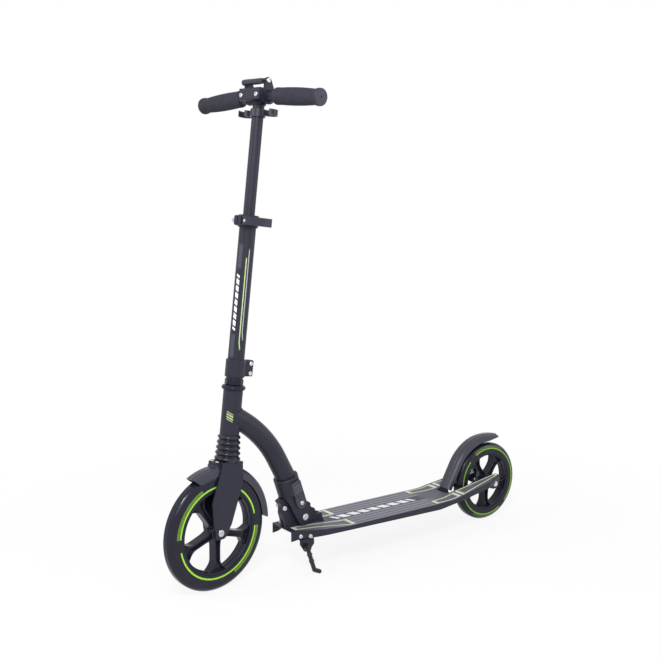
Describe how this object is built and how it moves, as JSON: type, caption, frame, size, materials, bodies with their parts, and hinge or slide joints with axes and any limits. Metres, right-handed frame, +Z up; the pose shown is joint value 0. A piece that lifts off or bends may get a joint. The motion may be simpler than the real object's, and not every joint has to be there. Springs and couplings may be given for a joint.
{
  "type": "kick scooter",
  "caption": "Folding kick scooter with a gooseneck, boot-covered front suspension, telescopic stem, pull-out handles, spoked wheels, fender brake and kickstand.",
  "frame": {"origin": "on the ground, at the middle of the bounding box seen from above", "axes": "+X is forward, +Y is the rider's left, +Z is up"},
  "size_m": [0.9242, 0.3318, 0.9648],
  "materials": {
    "satin_black": "satin powder coat",
    "grip_tape": "ribbed printed tape",
    "zinc_steel": "zinc plated",
    "black_plastic": "moulded",
    "gloss_black_plastic": "moulded gloss",
    "foam_grip": "matt foam",
    "polyurethane_tyre": "cast polyurethane",
    "black_rubber": "smooth"
  },
  "bodies": {
    "deck": {"deck_platform": "satin_black", "grip_tape": "grip_tape", "hinge_plates": "satin_black", "fold_pivot_bolt": "zinc_steel", "hinge_cross_bolt": "zinc_steel", "kickstand_bracket": "satin_black", "kickstand_screws": "zinc_steel", "kickstand_pin": "zinc_steel", "rear_axle_bolt": "zinc_steel", "rear_axle_nut": "zinc_steel", "rear_axle_spacers": "zinc_steel", "brake_pin": "zinc_steel", "brake_spring": "zinc_steel"},
    "neck": {"neck_frame": "satin_black", "fold_knuckle": "satin_black", "headset_bearings": "zinc_steel"},
    "fold_latch": {"latch_slider": "black_plastic", "latch_pin": "zinc_steel"},
    "stem": {"steerer_tube": "satin_black", "headset_cover": "satin_black", "headset_locknut": "satin_black", "stem_clamp": "satin_black", "stem_clamp_bolts": "zinc_steel", "lower_stem": "satin_black", "stem_bush": "black_plastic", "height_clamp": "satin_black", "height_clamp_bolt": "zinc_steel", "height_lever_pin": "zinc_steel"},
    "quick_release": {"height_lever": "black_plastic"},
    "upper_stem": {"upper_stem_tube": "satin_black", "handle_clip": "black_plastic", "bar_head": "satin_black", "bar_head_bolts": "zinc_steel", "bar_lever_bolt": "zinc_steel"},
    "bar_release": {"bar_lever": "black_plastic"},
    "left_handle": {"left_bar": "satin_black", "left_grip": "foam_grip", "left_end_cap": "gloss_black_plastic"},
    "right_handle": {"right_bar": "satin_black", "right_grip": "foam_grip", "right_end_cap": "gloss_black_plastic"},
    "fork": {"fork": "satin_black", "front_fender": "black_plastic", "fender_screws": "zinc_steel", "bellows": "black_rubber", "suspension_spring": "zinc_steel", "front_axle_bolt": "zinc_steel", "front_axle_nut": "zinc_steel", "front_axle_spacers": "zinc_steel"},
    "front_wheel": {"front_tyre": "polyurethane_tyre", "front_rim": "gloss_black_plastic", "front_bearings": "zinc_steel", "front_hub_spacer": "zinc_steel"},
    "rear_wheel": {"rear_tyre": "polyurethane_tyre", "rear_rim": "gloss_black_plastic", "rear_bearings": "zinc_steel", "rear_hub_spacer": "zinc_steel"},
    "rear_brake": {"brake_fender": "satin_black"},
    "kickstand": {"kickstand_leg": "satin_black"}
  },
  "joints": [
    {"name": "neck_fold", "type": "hinge", "parent": "deck", "child": "neck", "pos_m": [0.1501, 0, 0.1081], "axis": [0, -1, 0], "range_deg": [0, 75]},
    {"name": "latch_lift", "type": "slide", "parent": "neck", "child": "fold_latch", "axis": [0.3156, 0, 0.9489], "range_m": [-0.0045, 0.0025]},
    {"name": "steering", "type": "hinge", "parent": "neck", "child": "stem", "pos_m": [0.3326, 0, 0.115], "axis": [-0.1167, 0, 0.9932], "range_deg": [-69.15, 50.85]},
    {"name": "fork_travel", "type": "slide", "parent": "stem", "child": "fork", "axis": [-0.1167, 0, 0.9932], "range_m": [0, 0.015], "stiffness_N_per_m": 15000, "springref_m": -0.004, "deforming": ["bellows", "suspension_spring"]},
    {"name": "front_wheel_spin", "type": "hinge", "parent": "fork", "child": "front_wheel", "pos_m": [0.34771, 0.00242, 0.11498], "axis": [-0.1579, 0.9873, -0.0186], "continuous": true},
    {"name": "rear_wheel_spin", "type": "hinge", "parent": "deck", "child": "rear_wheel", "pos_m": [-0.3721, 0, 0.09], "axis": [0, 1, 0], "continuous": true},
    {"name": "quick_release_swing", "type": "hinge", "parent": "stem", "child": "quick_release", "pos_m": [0.28197, 0.01904, 0.702], "axis": [0.1167, 0, -0.9932], "range_deg": [0, 100]},
    {"name": "stem_height", "type": "slide", "parent": "stem", "child": "upper_stem", "axis": [-0.1167, 0, 0.9932], "range_m": [-0.15, 0.02]},
    {"name": "bar_release_swing", "type": "hinge", "parent": "upper_stem", "child": "bar_release", "pos_m": [0.24072, 0.00114, 0.95804], "axis": [0.1579, -0.9873, 0.0186], "range_deg": [0, 110]},
    {"name": "left_handle_pull", "type": "slide", "parent": "upper_stem", "child": "left_handle", "axis": [-0.1494, 0.9849, -0.0878], "range_m": [0, 0.035]},
    {"name": "right_handle_pull", "type": "slide", "parent": "upper_stem", "child": "right_handle", "axis": [0.1657, -0.9849, -0.0508], "range_m": [0, 0.035]},
    {"name": "brake_press", "type": "hinge", "parent": "deck", "child": "rear_brake", "pos_m": [-0.252, 0, 0.077], "axis": [0, -1, 0], "range_deg": [0, 8.5], "stiffness_Nm_per_rad": 8, "springref_deg": -5.73},
    {"name": "kickstand_swing", "type": "hinge", "parent": "deck", "child": "kickstand", "pos_m": [0.165, 0.049, 0.056], "axis": [0, 1, 0], "range_deg": [0, 74]}
  ]
}
